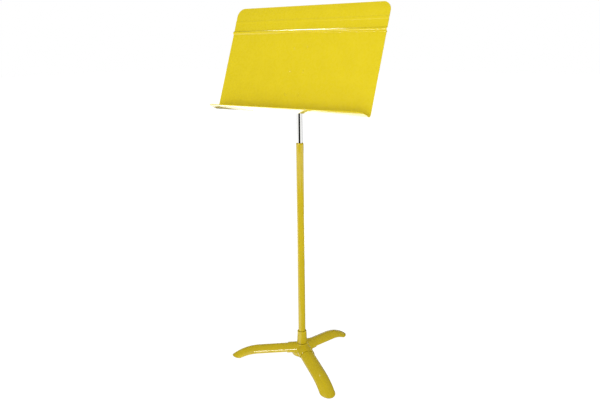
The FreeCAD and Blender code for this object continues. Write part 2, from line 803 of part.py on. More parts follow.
def make_bracket():
    """The channel bracket: a web against the panel, and two ears that carry the pivot bolt."""
    body = new_body("desk_bracket")
    low = "(Size.rivet_first - Size.bracket_margin)"
    high = "(Size.rivet_first + 2 * Size.rivet_pitch + Size.bracket_margin)"
    lip = f"({DESK_BACK} + Size.bracket_lip)"
    tip = f"({DESK_BACK} + Size.bracket_depth)"
    ear_low = "(Size.pivot_up_desk - Size.ear_half_height)"
    ear_high = "(Size.pivot_up_desk + Size.ear_half_height)"
    side = outline(
        body,
        "side",
        "YZ_Plane",
        [(DESK_BACK, low), (lip, low), (tip, ear_low), (tip, ear_high), (lip, high), (DESK_BACK, high)],
    )
    pad(body, side, f"2 * {EAR_OUTSIDE}")
    tip_place = number_of(tip)
    lip_place = number_of(lip)
    fillet(body, "ears", "Size.ear_corner", ACROSS, lambda end: near(end.y, tip_place) or near(end.y, lip_place))
    inside = outline(
        body,
        "inside",
        "XY_Plane",
        [
            (f"-{EAR_INSIDE}", WEB_BACK),
            (EAR_INSIDE, WEB_BACK),
            (EAR_INSIDE, f"{tip} + 1"),
            (f"-{EAR_INSIDE}", f"{tip} + 1"),
        ],
    )
    pocket(body, inside, f"3 * {high}")
    holes = circles(body, "holes", "XZ_Plane", RIVET_SPOTS, "Size.rivet_shank / 2 + Size.still_fit")
    pocket(body, holes, f"4 * {WEB_BACK}")
    bore = circles(
        body, "bore", "YZ_Plane", [("Size.pivot_behind_desk", "Size.pivot_up_desk")], f"{BOLT} + Size.still_fit"
    )
    pocket(body, bore, f"3 * {EAR_OUTSIDE}")
    body.setExpression("Placement", DESK_FRAME)
    return body


def make_rivet(index, across, up):
    """A domed rivet through the panel and the web; its own Z axis points rearward."""
    head = "Size.rivet_head / 2"
    shank = "Size.rivet_shank / 2"
    body = turned(
        f"desk_rivet_{index}",
        [
            ("0", "-Size.rivet_dome"),
            (f"{head} * 0.6", "-Size.rivet_dome * 0.8"),
            (head, "0"),
            (shank, "0"),
            (shank, WEB_BACK),
            (head, WEB_BACK),
            (f"{head} * 0.6", f"{WEB_BACK} + Size.rivet_dome * 0.8"),
            ("0", f"{WEB_BACK} + Size.rivet_dome"),
        ],
    )
    place_on_desk(body, across=across, up=up, roll="-90")
    return body


desk_panel = make_panel()
desk_bracket = make_bracket()
rivets = [make_rivet(index, across, up) for index, (across, up) in enumerate(RIVET_SPOTS, start=1)]
desk_rivets = group("desk_rivets", rivets)

BOLT_SEAT = f"({EAR_OUTSIDE} + Size.disc_spring)"

pivot_bolt = hexagon_and_shank(
    "pivot_bolt",
    "Size.bolt_head_width",
    "Size.bolt_head_height",
    BOLT,
    f"2 * {BOLT_SEAT} + Size.nut_height + Size.bolt_tail",
)
place(pivot_bolt, across=f"-{BOLT_SEAT}", up="Size.pivot_height", pitch="90")


def make_nut():
    """A hexagon lock nut on the end of the pivot bolt."""
    prism = doc.addObject("Part::Prism", "pivot_nut_blank")
    prism.Polygon = 6
    prism.setExpression("Circumradius", "Size.bolt_head_width / 2 / cos(30)")
    prism.setExpression("Height", "Size.nut_height")
    bore = doc.addObject("Part::Cylinder", "pivot_nut_bore")
    bore.setExpression("Radius", f"{BOLT} + Size.still_fit")
    bore.setExpression("Height", "Size.nut_height")
    nut = difference("pivot_nut", prism, bore)
    place(nut, across=BOLT_SEAT, up="Size.pivot_height", pitch="90")
    return nut


pivot_nut = make_nut()


def washer_pair(name, inside, outside, height, start):
    """Two equal rings on the pivot's axis, one at each side, growing outwards from start."""
    pieces = []
    for side, sign in (("left", -1), ("right", 1)):
        washer = ring(f"{name}_{side}", inside, outside, height)
        place(washer, across=f"{sign} * {start}", up="Size.pivot_height", pitch=f"90 * {sign}")
        pieces.append(washer)
    return group(name, pieces)


friction_washers = washer_pair(
    "friction_washers",
    f"{BOLT} + Size.still_fit",
    "Size.friction_washer_width / 2",
    "Size.friction_washer",
    "(Size.cross_length / 2 + Size.pivot_bush_flange)",
)
disc_springs = washer_pair(
    "disc_springs", f"{BOLT} + Size.still_fit", "Size.disc_spring_width / 2", "Size.disc_spring", EAR_OUTSIDE
)

# ---------------------------------------------------------------------------------------------------
# Check and write
# ---------------------------------------------------------------------------------------------------

NODES = [hub] + legs + foot_pads + [
    outer_tube,
    collar,
    tube_plug,
    base_washer,
    base_bolt,
    clutch_cap,
    top_bushing,
    clutch_fingers,
    clutch_spring,
    clutch_retainer,
    guide_bush,
    end_plug,
    snap_ring,
    inner_tube,
    cross_tube,
    pivot_bushes,
    desk_panel,
    desk_bracket,
    desk_rivets,
    pivot_bolt,
    pivot_nut,
    friction_washers,
    disc_springs,
]

doc.recompute()
for item in doc.Objects:
    if "Invalid" in item.State or "Error" in item.State:
        raise RuntimeError(f"{item.Label} failed: {item.State} {item.getStatusString()}")
os.makedirs("parts", exist_ok=True)
for node in NODES:
    if node.Shape.isNull() or not node.Shape.isValid() or not node.Shape.Solids:
        raise RuntimeError(f"{node.Label} has no valid solid")
for node in NODES:
    node.Shape.exportStep(f"parts/{node.Label}.step")
    print(f"{node.Label}: {len(node.Shape.Solids)} solid(s), {node.Shape.Volume:.0f} mm3")
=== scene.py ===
import json
import math

import bmesh
import bpy
from mathutils import Matrix, Vector


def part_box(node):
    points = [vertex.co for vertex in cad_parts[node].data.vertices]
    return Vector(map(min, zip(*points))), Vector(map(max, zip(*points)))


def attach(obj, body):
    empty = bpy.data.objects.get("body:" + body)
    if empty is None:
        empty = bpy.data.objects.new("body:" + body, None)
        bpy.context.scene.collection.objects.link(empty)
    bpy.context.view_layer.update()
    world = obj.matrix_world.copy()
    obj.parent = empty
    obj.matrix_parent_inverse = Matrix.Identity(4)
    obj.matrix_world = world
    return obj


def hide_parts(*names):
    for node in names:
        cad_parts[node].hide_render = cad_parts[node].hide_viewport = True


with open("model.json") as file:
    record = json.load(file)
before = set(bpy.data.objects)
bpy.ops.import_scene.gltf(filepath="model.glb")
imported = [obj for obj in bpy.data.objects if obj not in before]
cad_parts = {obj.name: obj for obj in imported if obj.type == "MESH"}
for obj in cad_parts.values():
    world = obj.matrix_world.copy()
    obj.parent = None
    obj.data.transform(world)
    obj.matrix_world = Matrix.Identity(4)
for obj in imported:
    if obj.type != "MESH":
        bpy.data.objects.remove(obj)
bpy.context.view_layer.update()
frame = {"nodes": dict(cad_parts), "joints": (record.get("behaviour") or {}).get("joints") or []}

# -------------------------------------------------------------------------------------------------
# Sizes, in metres
# -------------------------------------------------------------------------------------------------

# The desk: one folded sheet, which leans back.
DESK_WIDTH = 0.508
DESK_RISE = 0.3175
DESK_LEAN = math.radians(22.1)
DESK_WALL = 0.0016
DESK_EDGE_ROUND = 0.0004
SHELF_DEPTH = 0.0517
FOLD_RADIUS = 0.0094
DESK_CORNER = 0.025
SHELF_CORNER = 0.018
# Each pressed rib: its middle above the foot of the panel, its rise and its width.
RIBS = ((0.2405, 0.004, 0.011), (0.2735, 0.0008, 0.010))
# How far a rib's feet blend into the panel, and the facets across a rib.
RIB_BLEND = 0.0012
RIB_FACETS = 12
# The tilt pivot, from the foot of the panel's front face.
PIVOT_UP_DESK = 0.110
PIVOT_BEHIND_DESK = 0.020

# The rivets: the spacing of their two columns, the rows and their pitch, and how far the lowest
# row is above the panel's foot.
RIVET_SPACING = 0.043
RIVET_ROWS = 3
RIVET_PITCH = 0.0682
RIVET_FIRST = 0.0544
# The radii of a rivet's head and shank, and the height of its dome.
RIVET_HEAD = 0.0038
RIVET_SHANK = 0.0024
RIVET_DOME = 0.0011
# The back of the bracket's web, behind the panel's front face.
WEB_BACK = 0.0036

# The clamp bolt: its tail is what stands out past the nut.
BOLT_RADIUS = 0.004
BOLT_HEAD_HEIGHT = 0.0053
BOLT_TAIL = 0.002
BOLT_CHAMFER = 0.0006
THREAD_PITCH = 0.00125
THREAD_DEPTH = 0.6 * THREAD_PITCH
# Where the thread's root and crest start and end, as shares of its pitch.
THREAD_ROOT = (0.35, 0.5)
THREAD_CREST = (0.85, 1)

# The hexagon of the bolt's head and of the nut: its width over the flats and its chamfers.
HEXAGON_WIDTH = 0.013
HEXAGON_EDGE = 0.0003
HEXAGON_CHAMFER = 0.0009
HEXAGON_CHAMFER_DROP = HEXAGON_CHAMFER * 0.6

# The lock nut: the height of its flats, and its round crown, which holds the nylon.
NUT_HEIGHT = 0.008
NUT_FLATS = NUT_HEIGHT * 0.75
CROWN_FOOT = NUT_HEIGHT * 0.6
CROWN_INSET = 0.0006
CROWN_ROUND = 0.001
CROWN_ROUND_MIDDLE = 0.0003
CROWN_LIP = 0.0004

# Where the nut and the bolt's head bear on the disc springs, to each side of the pivot's middle.
EAR_OUTSIDE = 0.033
DISC_SPRING = 0.0012
CLAMP_SEAT = EAR_OUTSIDE + DISC_SPRING

TUBE_RADIUS = 0.0111
TUBE_WALL = 0.0016
# The collar: its gap to the hub below and to the tube above, how deep its bore widens towards
# each end, and the rounding of the ends.
COLLAR_LOW_RADIUS = 0.0162
COLLAR_HIGH_RADIUS = 0.01425
COLLAR_GAP = 0.0009
COLLAR_FUNNEL = 3 * COLLAR_GAP
COLLAR_ROUND = 0.0009
# The clutch cap: the radius of its mouth, the lip there, and how high its spigot in the tube and
# its straight wall above the tube are.
CAP_MOUTH = 0.0082
CAP_LIP = 0.0006
CAP_SPIGOT = 0.004
CAP_WALL = 0.0045

# The gap between two fitted pieces, and the distance within which points are one point.
FITTING_GAP = 0.00005
WELD = 0.00001
# The radius to which a turned piece narrows where it ends on its axis.
TINY = 0.00002

tilt = next(joint for joint in frame["joints"] if joint["name"] == "tilt")
PIVOT = Vector(tilt["pos_m"])
LEAN = Matrix.Rotation(-DESK_LEAN, 4, "X")
REARWARD = LEAN @ Vector((0, 1, 0))
UP_DESK = LEAN @ Vector((0, 0, 1))
DESK_FOOT = PIVOT - PIVOT_BEHIND_DESK * REARWARD - PIVOT_UP_DESK * UP_DESK
DESK_PLACE = Matrix.Translation(DESK_FOOT) @ LEAN


# -------------------------------------------------------------------------------------------------
# Modelling
# -------------------------------------------------------------------------------------------------


def begin(add_primitive, name, place=Matrix.Identity(4), **settings):
    """Add a primitive as a new piece, fix its place in its mesh, and open it for editing."""
    bpy.ops.object.select_all(action="DESELECT")
    add_primitive(**settings)
    piece = bpy.context.object
    piece.name = name
    piece.data.name = name
    piece.matrix_world = place @ piece.matrix_world
    bpy.ops.object.transform_apply(location=True, rotation=True, scale=True)
    bpy.ops.object.mode_set(mode="EDIT")
    return piece


def pick(piece, kind, wanted):
    """Select a piece's verts, edges or faces for which wanted says so, and nothing else."""
    bpy.ops.mesh.select_mode(type={"verts": "VERT", "edges": "EDGE", "faces": "FACE"}[kind])
    bpy.ops.mesh.select_all(action="DESELECT")
    mesh = bmesh.from_edit_mesh(piece.data)
    for element in getattr(mesh, kind):
        element.select_set(wanted(element))
    mesh.select_flush_mode()
    bmesh.update_edit_mesh(piece.data)


def near(value, target):
    """Whether two lengths are the same within a hundredth of a millimetre."""
    return abs(value - target) < WELD


def level_at(element, height):
    """Whether an edge or a face lies level at this height."""
    return all(near(vert.co.z, height) for vert in element.verts)


def close(piece):
    """Weld coincident points, turn the faces outwards and leave edit mode."""
    bpy.ops.mesh.select_all(action="SELECT")
    bpy.ops.mesh.remove_doubles(threshold=WELD)
    bpy.ops.mesh.normals_make_consistent(inside=False)
    bpy.ops.object.mode_set(mode="OBJECT")
    return piece


def modify(piece, kind, **settings):
    """Add a modifier to a piece and apply it."""
    modifier = piece.modifiers.new(kind.title(), kind)
    for name, value in settings.items():
        setattr(modifier, name, value)
    bpy.context.view_layer.objects.active = piece
    bpy.ops.object.modifier_apply(modifier=modifier.name)


def smooth(piece, angle=35):
    """Shade a piece smoothly, except across edges sharper than the angle."""
    bpy.ops.object.select_all(action="DESELECT")
    piece.select_set(True)
    bpy.context.view_layer.objects.active = piece
    bpy.ops.object.shade_smooth_by_angle(angle=math.radians(angle))


def settle(piece, place):
    """Move a finished piece to its place on the stand, within its mesh."""
    piece.data.transform(place)
    piece.data.update()


def fit(piece, finish, body, slot, *stands_for):
    """Give a piece its finish, the body it moves with and the CAD nodes that it stands for."""
    piece.data.materials.clear()
    piece.data.materials.append(finish)
    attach(piece, body)
    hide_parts(*stands_for)


def quarter_turn(steps):
    """The angles from zero to a right angle in so many steps."""
    return [math.pi / 2 * step / steps for step in range(steps + 1)]


def turned(name, stations, segments):
    """Turn a piece round the Z axis: a ring is drawn through each (radius, height) in order."""
    radius, height = stations[0]
    ring = bpy.ops.mesh.primitive_circle_add
    piece = begin(ring, name, vertices=segments, radius=radius, location=(0, 0, height))
    for next_radius, next_height in stations[1:]:
        rise = {"value": (0, 0, next_height - height)}
        bpy.ops.mesh.extrude_region_move(TRANSFORM_OT_translate=rise)
        scale = next_radius / radius
        bpy.ops.transform.resize(value=(scale, scale, 1), center_override=(0, 0, next_height))
        radius, height = next_radius, next_height
    return close(piece)


def copy_of(node, name):
    """A welded copy of a CAD node, as a start for a piece with softer edges."""
    piece = frame["nodes"][node].copy()
    piece.data = piece.data.copy()
    for key in list(piece.keys()):
        del piece[key]
    piece.name = name
    piece.data.name = name
    piece.parent = None
    bpy.context.scene.collection.objects.link(piece)
    bpy.ops.object.select_all(action="DESELECT")
    piece.select_set(True)
    bpy.context.view_layer.objects.active = piece
    bpy.ops.mesh.customdata_custom_splitnormals_clear()
    bpy.ops.object.mode_set(mode="EDIT")
    bpy.ops.mesh.select_all(action="SELECT")
    bpy.ops.mesh.remove_doubles(threshold=WELD / 2)
    bpy.ops.object.mode_set(mode="OBJECT")
    return piece


# -------------------------------------------------------------------------------------------------
# Materials
# -------------------------------------------------------------------------------------------------


def colour(code):
    """The linear colour of an sRGB hex code."""
    parts = [int(code[start:start + 2], 16) / 255 for start in (0, 2, 4)]
    linear = [part / 12.92 if part <= 0.04045 else ((part + 0.055) / 1.055) ** 2.4
              for part in parts]
    return (*linear, 1)


def grey(level):
    """A linear grey, or a plain value where a ramp gives one."""
    return (level, level, level, 1)


def per_metre(millimetres):
    """A pattern's scale, from the size of one of its features."""
    return 1000 / millimetres


def add(tree, kind, settings=None, inputs=None):
    """Add a node, with its settings, and its inputs as values or as links from other nodes."""
    node = tree.nodes.new(kind)
    for name, value in (settings or {}).items():
        setattr(node, name, value)
    for name, value in (inputs or {}).items():
        if isinstance(value, bpy.types.NodeSocket):
            tree.links.new(value, node.inputs[name])
        else:
            node.inputs[name].default_value = value
    return node


def new_material(name):
    """An empty material: its node tree and its object coordinates."""
    material = bpy.data.materials.new(name)
    material.use_nodes = True
    tree = material.node_tree
    tree.nodes.clear()
    place = add(tree, "ShaderNodeTexCoord").outputs["Object"]
    return material, tree, place


def noise(tree, place, size, detail=2.0):
    """A noise value whose blotches are so many millimetres across."""
    inputs = {"Vector": place, "Scale": per_metre(size), "Detail": detail}
    return add(tree, "ShaderNodeTexNoise", None, inputs).outputs["Fac"]


def streaks(tree, place, sizes, detail=2.0):
    """A noise value in streaks of these sizes along X, Y and Z, in millimetres."""
    stretch = {"Vector": place, "Scale": tuple(per_metre(size) for size in sizes)}
    lines = add(tree, "ShaderNodeMapping", None, stretch)
    inputs = {"Vector": lines.outputs["Vector"], "Scale": 1.0, "Detail": detail}
    return add(tree, "ShaderNodeTexNoise", None, inputs).outputs["Fac"]


def ramp(tree, factor, low, high, start=0.3, end=0.7):
    """A ramp's colour between two colours, which the factor drives."""
    node = add(tree, "ShaderNodeValToRGB", None, {"Fac": factor})
    node.color_ramp.elements[0].position = start
    node.color_ramp.elements[0].color = low
    node.color_ramp.elements[1].position = end
    node.color_ramp.elements[1].color = high
    return node.outputs["Color"]


def relief(tree, height, strength, depth, under=None):
    """The normal of a relief that is so many metres deep, which may lie over another relief."""
    inputs = {"Height": height, "Strength": strength, "Distance": depth}
    if under is not None:
        inputs["Normal"] = under
    return add(tree, "ShaderNodeBump", None, inputs).outputs["Normal"]


def finish_material(material, tree, inputs):
    """Close a material with its surface shader."""
    shader = add(tree, "ShaderNodeBsdfPrincipled", None, inputs)
    add(tree, "ShaderNodeOutputMaterial", None, {"Surface": shader.outputs["BSDF"]})
    return material


def gloss_enamel(name, deep, light):
    """Sprayed and stoved gloss enamel: wet-looking, with orange peel and slow waves, and painted
    shade that darkens its seams.
    """
    material, tree, place = new_material(name)
    shade = ramp(tree, noise(tree, place, size=45, detail=3.0), colour(deep), colour(light))
    # Painted shade: near a seam or corner, where shade falls, the paint darkens over a few
    # millimetres.
    crevice_shade = add(tree, "ShaderNodeAmbientOcclusion", {"samples": 8}, {"Distance": 0.0035})
    unshaded_share = ramp(tree, crevice_shade.outputs["AO"], grey(0), grey(1), start=0.35, end=0.68)
    # 5C4D08 is the colour of the painted shade in seams and corners.
    tones = {"Fac": unshaded_share, "Color1": colour("5C4D08"), "Color2": shade}
    paint = add(tree, "ShaderNodeMixRGB", None, tones)
    rough = ramp(tree, noise(tree, place, size=9), grey(0.24), grey(0.32))
    # Orange peel is about a millimetre across, and lies on the waves.
    swell = noise(tree, place, size=70, detail=1.0)
    waves = relief(tree, swell, strength=0.12, depth=0.001)
    skin = noise(tree, place, size=1.4, detail=1.0)
    peel = relief(tree, skin, strength=0.01, depth=0.0001, under=waves)
    surface = {
        "Base Color": paint.outputs["Color"],
        "Roughness": rough,
        "Normal": peel,
        "Specular IOR Level": 0.2,
        "Coat Weight": 1.0,
        "Coat Roughness": 0.06,
        "Coat IOR": 1.5,
    }
    return finish_material(material, tree, surface)


def chrome_plate():
    """Bright chrome on drawn steel tube: a clean mirror with fine upright draw lines."""
    material, tree, place = new_material("bright_chrome_plate")
    lines = streaks(tree, place, sizes=(0.6, 0.6, 60))
    surface = {
        "Base Color": ramp(tree, lines, colour("EBEBE8"), colour("F4F4F1")),
        "Metallic": 1.0,
        "Roughness": ramp(tree, lines, grey(0.03), grey(0.09)),
        "Normal": relief(tree, lines, strength=0.04, depth=0.00005),
    }
    return finish_material(material, tree, surface)


def zinc_plate():
    """Clear zinc plate on a steel fastener: satin, faintly blue, with small crystals."""
    material, tree, place = new_material("clear_zinc_plate")
    pattern = {"Vector": place, "Scale": per_metre(1.2)}
    crystals = add(tree, "ShaderNodeTexVoronoi", None, pattern).outputs["Distance"]
    surface = {
        "Base Color": ramp(tree, crystals, colour("AEB4BA"), colour("C9CDD0"), start=0, end=0.8),
        "Metallic": 1.0,
        "Roughness": ramp(tree, crystals, grey(0.26), grey(0.42), start=0, end=0.8),
    }
    return finish_material(material, tree, surface)


def spring_temper():
    """Oiled spring steel: dark and blue-grey, with the streaks of rolling."""
    material, tree, place = new_material("oiled_spring_steel")
    lines = streaks(tree, place, sizes=(0.5, 0.5, 8))
    surface = {
        "Base Color": ramp(tree, lines, colour("4A4C52"), colour("6B6D72")),
        "Metallic": 1.0,
        "Roughness": ramp(tree, lines, grey(0.25), grey(0.4)),
    }
    return finish_material(material, tree, surface)


def moulded_nylon():
    """Natural nylon, injection moulded: creamy, half matt, with a fine spark-eroded texture."""
    material, tree, place = new_material("natural_nylon")
    cloud = noise(tree, place, size=6)
    texture = noise(tree, place, size=0.5)
    surface = {
        "Base Color": ramp(tree, cloud, colour("DDD6C2"), colour("EBE6D8")),
        "Roughness": 0.45,
        "Normal": relief(tree, texture, strength=0.2, depth=0.0001),
    }
    return finish_material(material, tree, surface)


def pressed_fibre():
    """Vulcanised fibre washers: red-brown and dry, with paper fibres showing."""
    material, tree, place = new_material("vulcanised_fibre")
    fibres = streaks(tree, place, sizes=(3, 0.4, 0.4), detail=4.0)
    surface = {
        "Base Color": ramp(tree, fibres, colour("5A2C1B"), colour("7C4430")),
        "Roughness": 0.72,
        "Normal": relief(tree, fibres, strength=0.3, depth=0.0001),
    }
    return finish_material(material, tree, surface)


def moulded_rubber():
    """Non-marking moulded rubber: matt and grey, dusty in its pores."""
    material, tree, place = new_material("moulded_rubber")
    dust = noise(tree, place, size=5, detail=4.0)
    pores = noise(tree, place, size=0.6)
    surface = {
        "Base Color": ramp(tree, dust, colour("3A3A36"), colour("504F49")),
        "Roughness": 0.85,
        "Normal": relief(tree, pores, strength=0.4, depth=0.0002),
    }
    return finish_material(material, tree, surface)


desk_enamel = gloss_enamel("gloss_enamel_on_aluminium", "E6CF16", "EAD31A")
FINISHES = {
    "paint_desk": desk_enamel,
    "paint_bracket": desk_enamel,
    "paint_rivet": desk_enamel,
    "paint_base": gloss_enamel("gloss_enamel_on_steel", "C6AE16", "CCB41A"),
    "chrome": chrome_plate(),
    "zinc": zinc_plate(),
    "spring_steel": spring_temper(),
    "nylon": moulded_nylon(),
    "fibre": pressed_fibre(),
    "rubber": moulded_rubber(),
}


def finish_cad_nodes():
    """Give every CAD node the finish of its material slot."""
    for node in frame["nodes"].values():
        for slot in node.material_slots:
            slot.material = FINISHES[slot.material.name.split(".")[0]]


# -------------------------------------------------------------------------------------------------
# Pieces
# -------------------------------------------------------------------------------------------------


def press_rib(piece, middle, rise, width):
    """Press a rib of round section forward across the panel, with blended feet."""
    half = width / 2
    radius = (half**2 + rise**2) / (2 * rise)
    offsets = [half * math.cos(math.pi * step / RIB_FACETS) for step in range(RIB_FACETS + 1)]
    for offset in offsets:
        bpy.ops.mesh.select_all(action="SELECT")
        bpy.ops.mesh.bisect(plane_co=(0, 0, middle + offset), plane_no=(0, 0, 1))
    for offset in offsets[1:-1]:
        height = math.sqrt(radius**2 - offset**2) - (radius - rise)
        pick(piece, "verts", lambda vert: near(vert.co.z, middle + offset))
        bpy.ops.transform.translate(value=(0, -height, 0))
    feet = (middle - half, middle + half)
    pick(piece, "edges", lambda edge: any(level_at(edge, foot) for foot in feet))
    bpy.ops.mesh.bevel(offset=RIB_BLEND, segments=4, affect="EDGES")


def make_desk_sheet():
    """The desk: a flat panel, its lower edge folded forward as a shelf, and two ribs."""
    height = DESK_RISE - DESK_WALL
    middle = Matrix.Translation((0, 0, DESK_WALL + height / 2))
    size = Matrix.Diagonal((DESK_WIDTH, 1, height, 1))
    upright = (math.pi / 2, 0, 0)
    add_plane = bpy.ops.mesh.primitive_plane_add
    piece = begin(add_plane, "desk_sheet", middle @ size, size=1, rotation=upright)
    pick(piece, "edges", lambda edge: level_at(edge, DESK_WALL))
    bpy.ops.mesh.extrude_region_move(TRANSFORM_OT_translate={"value": (0, -SHELF_DEPTH, 0)})
    pick(piece, "verts", lambda vert: near(vert.co.z, DESK_RISE))
    bpy.ops.mesh.bevel(offset=DESK_CORNER, segments=14, affect="VERTICES")
    pick(piece, "verts", lambda vert: near(vert.co.y, -SHELF_DEPTH))
    bpy.ops.mesh.bevel(offset=SHELF_CORNER, segments=12, affect="VERTICES")
    pick(piece, "edges", lambda edge: level_at(edge, DESK_WALL)
         and all(near(vert.co.y, 0) for vert in edge.verts))
    bpy.ops.mesh.bevel(offset=FOLD_RADIUS, segments=14, affect="EDGES")
    for rib_middle, rise, width in RIBS:
        press_rib(piece, rib_middle, rise, width)
    bpy.ops.object.mode_set(mode="OBJECT")
    modify(piece, "SOLIDIFY", thickness=DESK_WALL, offset=-1, use_even_offset=True)
    sharp = {"limit_method": "ANGLE", "angle_limit": math.radians(50)}
    modify(piece, "BEVEL", width=DESK_EDGE_ROUND, segments=3, **sharp)
    settle(piece, DESK_PLACE)
    smooth(piece)
    fit(piece, FINISHES["paint_desk"], "desk", "paint_desk", "desk_panel")


def make_rivets():
    """Six domed rivets, in two columns, through the panel and the bracket's web."""
    front = [
        (max(RIVET_HEAD * math.sin(angle), TINY), -RIVET_DOME * math.cos(angle))
        for angle in quarter_turn(6)
    ]
    rear = [(radius, WEB_BACK - height) for radius, height in reversed(front)]
    stations = front + [(RIVET_SHANK, 0), (RIVET_SHANK, WEB_BACK)] + rear
    rearward = Matrix.Rotation(-math.pi / 2, 4, "X")
    for row in range(RIVET_ROWS):
        for column, side in enumerate((-1, 1)):
            piece = turned(f"desk_rivet_{row + 1}_{column + 1}", stations, segments=32)
            up = RIVET_FIRST + row * RIVET_PITCH
            spot = Matrix.Translation((side * RIVET_SPACING / 2, 0, up))
            settle(piece, DESK_PLACE @ spot @ rearward)
            smooth(piece)
            fit(piece, FINISHES["paint_rivet"], "desk", "paint_rivet", "desk_rivets")


def make_hub_casting():
    """The cast hub, with the soft edges and filled corners of a casting."""
    piece = copy_of("hub", "hub_casting")
    modify(piece, "REMESH", mode="VOXEL", voxel_size=0.0008)
    modify(piece, "SMOOTH", factor=0.5, iterations=4)
    smooth(piece, angle=60)
    fit(piece, FINISHES["paint_base"], "base", "paint_base", "hub")


def make_collar():
    """The tapered collar round the foot of the tube: rounded ends, and a gap at hub and tube."""
    low, high = (corner.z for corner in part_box("collar"))
    foot = low + COLLAR_GAP
    bore = TUBE_RADIUS + FITTING_GAP
    low_end = [
        (COLLAR_LOW_RADIUS - COLLAR_ROUND * (1 - math.sin(angle)),
         foot + COLLAR_ROUND * (1 - math.cos(angle)))
        for angle in quarter_turn(5)
    ]
    high_end = [
        (COLLAR_HIGH_RADIUS - COLLAR_ROUND * (1 - math.cos(angle)),
         high - COLLAR_ROUND * (1 - math.sin(angle)))
        for angle in quarter_turn(5)
    ]
    inside = [(bore + COLLAR_GAP, high), (bore, high - COLLAR_FUNNEL), (bore, low + COLLAR_FUNNEL)]
    funnel = (COLLAR_LOW_RADIUS - COLLAR_FUNNEL, foot)
    stations = [inside[-1], funnel, *low_end, *high_end, *inside]
    piece = turned("hub_collar", stations, segments=64)
    smooth(piece)
    fit(piece, FINISHES["paint_base"], "base", "paint_base", "collar")


def make_clutch_cap():
    """The cap of the height clutch: a ring whose shoulder rolls in to its mouth round the rod."""
    low, high = (corner.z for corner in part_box("clutch_cap"))
    rim = low + CAP_SPIGOT
    spigot = TUBE_RADIUS - TUBE_WALL
    shoulder = [
        (CAP_MOUTH + CAP_LIP + (TUBE_RADIUS - CAP_MOUTH - CAP_LIP) * math.cos(angle),
         rim + CAP_WALL + (high - rim - CAP_WALL) * math.sin(angle))
        for angle in quarter_turn(8)
    ]
    outside = [(CAP_MOUTH, low), (spigot, low), (spigot, rim), (TUBE_RADIUS, rim), *shoulder]
    stations = [*outside, (CAP_MOUTH, high - CAP_LIP), (CAP_MOUTH, low)]
    piece = turned("clutch_cap_ring", stations, segments=64)
    smooth(piece)
    fit(piece, FINISHES["paint_base"], "base", "paint_base", "clutch_cap")


def hexagon(name, height, bore):
    """A closed hexagon prism on the XY plane: its corners chamfered, its ends ringed by insets."""
    half = HEXAGON_WIDTH / 2
    corner = half / math.cos(math.pi / 6)
    add_prism = bpy.ops.mesh.primitive_cylinder_add
    middle = (0, 0, height / 2)
    piece = begin(add_prism, name, vertices=6, radius=corner, depth=height, location=middle)
    pick(piece, "edges", lambda edge: not near(edge.verts[0].co.z, edge.verts[1].co.z))
    bpy.ops.mesh.bevel(offset=HEXAGON_EDGE, segments=2, affect="EDGES")
    rim = corner * 0.97
    for level in (0, height):
        pick(piece, "faces", lambda face: level_at(face, level))
        bpy.ops.mesh.inset(thickness=HEXAGON_CHAMFER)
        bpy.ops.mesh.inset(thickness=(half - HEXAGON_CHAMFER - bore) / 2)
        pick(piece, "verts", lambda vert: near(vert.co.z, level) and vert.co.xy.length > rim)
        drop = math.copysign(HEXAGON_CHAMFER_DROP, height / 2 - level)
        bpy.ops.transform.translate(value=(0, 0, drop))
    return close(piece)


def make_pivot_bolt():
    """The clamp bolt through both ears: a chamfered hexagon head, a shank and a threaded tail."""
    length = 2 * CLAMP_SEAT + NUT_HEIGHT + BOLT_TAIL
    turns = int((NUT_HEIGHT + BOLT_TAIL) / THREAD_PITCH) - 1
    root = BOLT_RADIUS - THREAD_DEPTH
    start = length - turns * THREAD_PITCH - BOLT_CHAMFER
    shank = [(TINY, -BOLT_HEAD_HEIGHT / 2), (BOLT_RADIUS, -BOLT_HEAD_HEIGHT / 2)]
    shank.append((BOLT_RADIUS, start))
    for turn in range(turns):
        foot = start + turn * THREAD_PITCH
        shank += [(root, foot + share * THREAD_PITCH) for share in THREAD_ROOT]
        shank += [(BOLT_RADIUS, foot + share * THREAD_PITCH) for share in THREAD_CREST]
    shank += [(BOLT_RADIUS - BOLT_CHAMFER, length), (TINY, length)]
    rod = turned("pivot_clamp_bolt", shank, segments=40)
    head = hexagon("pivot_clamp_bolt_head", BOLT_HEAD_HEIGHT, BOLT_RADIUS)
    settle(head, Matrix.Translation((0, 0, -BOLT_HEAD_HEIGHT)))
    place = Matrix.Translation(PIVOT + Vector((-CLAMP_SEAT, 0, 0)))
    place = place @ Matrix.Rotation(math.pi / 2, 4, "Y")
    for piece in (rod, head):
        settle(piece, place)
        smooth(piece)
        fit(piece, FINISHES["zinc"], "desk", "zinc", "pivot_bolt")


